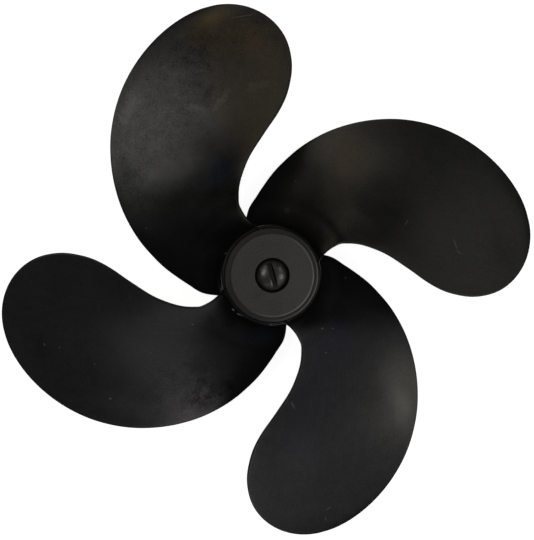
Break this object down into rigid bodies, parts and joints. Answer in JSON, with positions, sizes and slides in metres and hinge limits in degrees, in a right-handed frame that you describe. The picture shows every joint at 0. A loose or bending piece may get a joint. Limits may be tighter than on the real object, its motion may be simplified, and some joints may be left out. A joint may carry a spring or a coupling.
{
  "type": "four-blade propeller",
  "caption": "Black moulded propeller with highly skewed blades, a round hub, a front cap and a slotted centre screw; it turns on a shaft and pushes water.",
  "frame": {"origin": "centre of the flat rear face of the hub, on the shaft axis", "axes": "+Z along the shaft axis, out of the front cap; blade 1's tip lies 12 degrees round from +X towards +Y, and the others follow every 90 degrees"},
  "size_m": [0.2854, 0.2854, 0.0564],
  "materials": {
    "hub_black": "satin black moulding",
    "blade_black": "satin black moulding with faint flow streaks",
    "cap_black": "matte, fine grained dark grey",
    "screw_steel": "blackened steel"
  },
  "bodies": {
    "root": {"hub_barrel": "hub_black", "blade_1": "blade_black", "blade_2": "blade_black", "blade_3": "blade_black", "blade_4": "blade_black", "hub_cap": "cap_black", "cap_screw": "screw_steel"}
  },
  "joints": []
}
